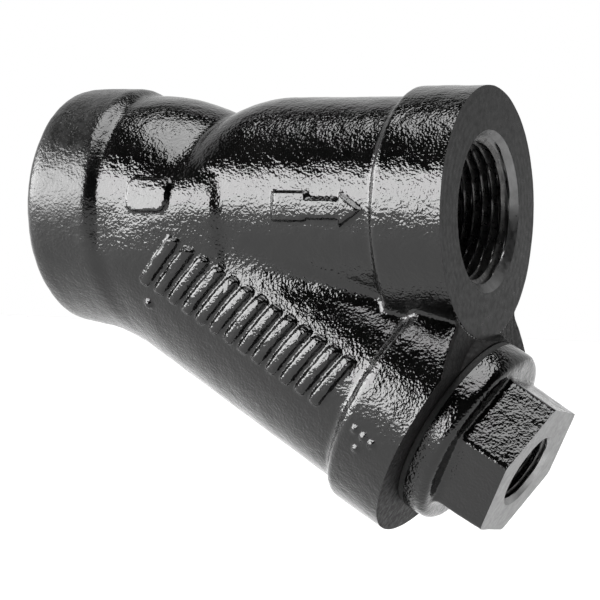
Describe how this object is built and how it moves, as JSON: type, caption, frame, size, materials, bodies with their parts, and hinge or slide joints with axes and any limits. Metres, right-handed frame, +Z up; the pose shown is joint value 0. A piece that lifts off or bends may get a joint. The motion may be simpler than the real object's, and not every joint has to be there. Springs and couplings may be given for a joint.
{
  "type": "y strainer",
  "caption": "Cast iron Y strainer with threaded ports, a slanted branch, a screwed hexagon cap with blow-off port, a gasket and a removable woven screen.",
  "frame": {"origin": "centre of the inlet port's face, on the run's axis", "axes": "+X is the direction of flow along the run, +Z is up, and the screen branch slants down and downstream in the XZ plane"},
  "size_m": [0.1211, 0.057, 0.0988],
  "materials": {
    "enamelled_iron": "glossy black enamel over as-cast iron, machined faces satin dark grey",
    "enamelled_cap": "glossy black enamel over as-cast iron",
    "gasket_fibre": "matt compressed fibre",
    "woven_stainless": "woven wire cloth",
    "stainless_sheet": "rolled stainless sheet"
  },
  "bodies": {
    "body": {"body": "enamelled_iron"},
    "screen": {"screen_cloth": "woven_stainless", "screen_seam_strip": "stainless_sheet", "upper_ferrule": "stainless_sheet", "lower_ferrule": "stainless_sheet"},
    "gasket": {"cap_gasket": "gasket_fibre"},
    "cap": {"retainer_cap": "enamelled_cap"}
  },
  "joints": [
    {"name": "screen_withdraw", "type": "slide", "parent": "body", "child": "screen", "axis": [0.8695, 0, -0.4939], "range_m": [0, 0.082]},
    {"name": "cap_travel", "type": "slide", "parent": "screen", "child": "gasket", "axis": [0.8695, 0, -0.4939], "range_m": [0, 0.0121]},
    {"name": "cap_turn", "type": "hinge", "parent": "gasket", "child": "cap", "pos_m": [0.0135, 0, 0], "axis": [0.8695, 0, -0.4939], "range_deg": [0, 2160]}
  ],
  "couplings": [
    {"joint": "cap_travel", "follows": "cap_turn", "m_per_rad": 0.00031831}
  ]
}
